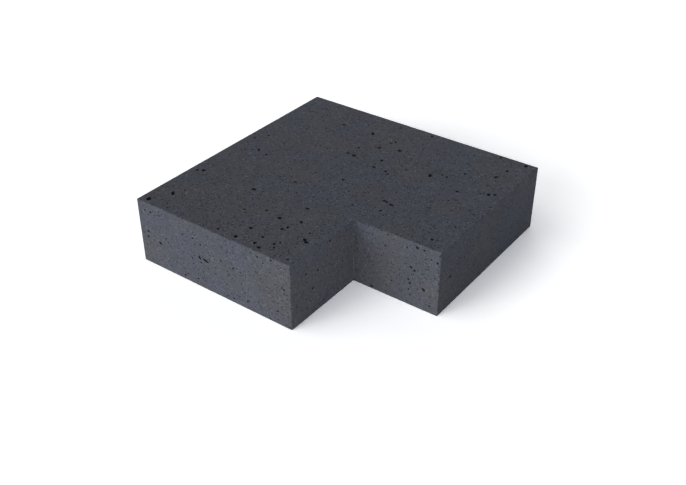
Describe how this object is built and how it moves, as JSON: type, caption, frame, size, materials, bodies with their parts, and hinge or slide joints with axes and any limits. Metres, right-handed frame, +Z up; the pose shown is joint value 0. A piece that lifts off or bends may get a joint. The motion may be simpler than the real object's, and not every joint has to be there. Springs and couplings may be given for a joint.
{
  "type": "precast concrete corner step",
  "caption": "L-shaped precast concrete block step that turns a flight round a right-angled corner: dark grey, open-pored cast concrete with a square notch between its legs.",
  "frame": {"origin": "on the bed face, in the middle of the 600 mm square that the L is cut from", "axes": "+Z up, bed to tread; the L's back corner is at -X +Y, one leg runs to -Y and the other to +X, and the notch opens to +X -Y"},
  "size_m": [0.6, 0.6, 0.15],
  "materials": {
    "anthracite_concrete": "matt, through-dyed anthracite cast concrete with open pores"
  },
  "bodies": {
    "root": {"corner_step": "anthracite_concrete"}
  },
  "joints": []
}
